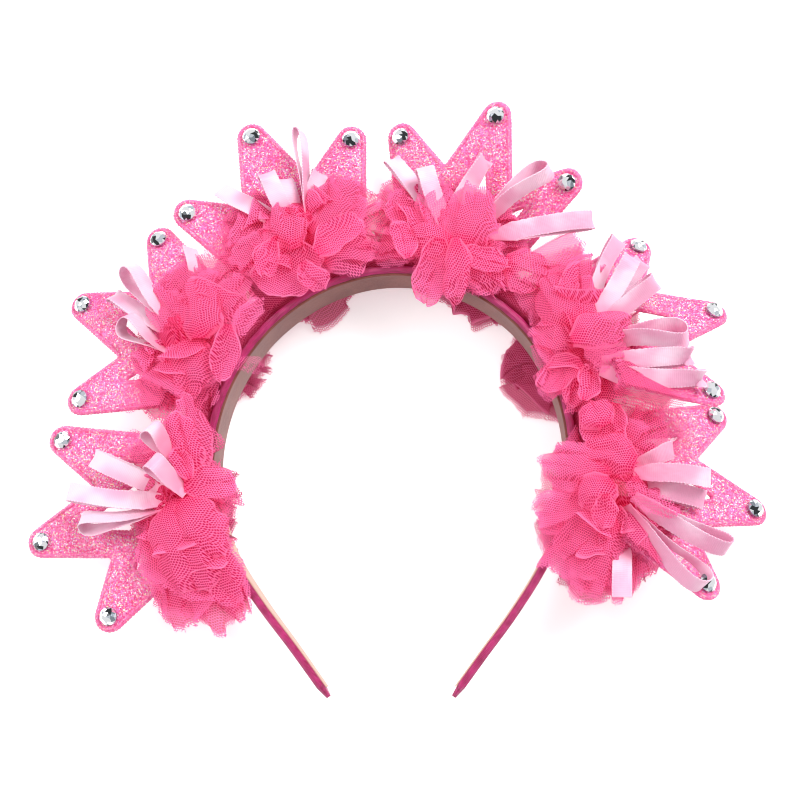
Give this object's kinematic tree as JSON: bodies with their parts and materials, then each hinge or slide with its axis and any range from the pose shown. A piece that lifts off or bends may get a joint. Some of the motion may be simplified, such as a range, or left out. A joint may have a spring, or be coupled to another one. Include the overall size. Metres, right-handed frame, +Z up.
{
  "type": "crown headband",
  "caption": "Stage-costume hair band that lies on its side, its arch set with tulle ruffles, padded glitter crown shapes, rhinestones and satin ribbon loops.",
  "frame": {"origin": "on the resting plane, under the middle of the whole outline", "axes": "+X across the head opening, +Y from the two tips to the top of the arch, +Z up from the surface it lies on, which is the front when worn"},
  "size_m": [0.2518, 0.2066, 0.054],
  "materials": {
    "band_satin": "magenta satin stretched over a stiff band",
    "lining_suede": "taupe suede-like lining strip",
    "tulle": "hot pink soft net, gathered in many layers",
    "glitter_fabric": "pink iridescent glitter cloth, padded, stitched rim",
    "rhinestone": "clear faceted stone with a silver back",
    "ribbon_satin": "pale pink single-face satin ribbon"
  },
  "bodies": {
    "root": {"band": "band_satin", "lining": "lining_suede", "tulle_ruffle_1": "tulle", "tulle_ruffle_2": "tulle", "tulle_ruffle_3": "tulle", "tulle_ruffle_4": "tulle", "tulle_ruffle_5": "tulle", "tulle_ruffle_6": "tulle", "crown_1": "glitter_fabric", "crown_2": "glitter_fabric", "crown_3": "glitter_fabric", "crown_4": "glitter_fabric", "crown_5": "glitter_fabric", "crown_6": "glitter_fabric", "gem_1": "rhinestone", "gem_2": "rhinestone", "gem_3": "rhinestone", "gem_4": "rhinestone", "gem_5": "rhinestone", "gem_6": "rhinestone", "gem_7": "rhinestone", "gem_8": "rhinestone", "gem_9": "rhinestone", "gem_10": "rhinestone", "gem_11": "rhinestone", "gem_12": "rhinestone", "gem_13": "rhinestone", "gem_14": "rhinestone", "gem_15": "rhinestone", "gem_16": "rhinestone", "gem_17": "rhinestone", "gem_18": "rhinestone", "ribbon_loops_1": "ribbon_satin", "ribbon_loops_2": "ribbon_satin", "ribbon_loops_3": "ribbon_satin", "ribbon_loops_4": "ribbon_satin", "ribbon_loops_5": "ribbon_satin", "ribbon_loops_6": "ribbon_satin"}
  },
  "joints": []
}
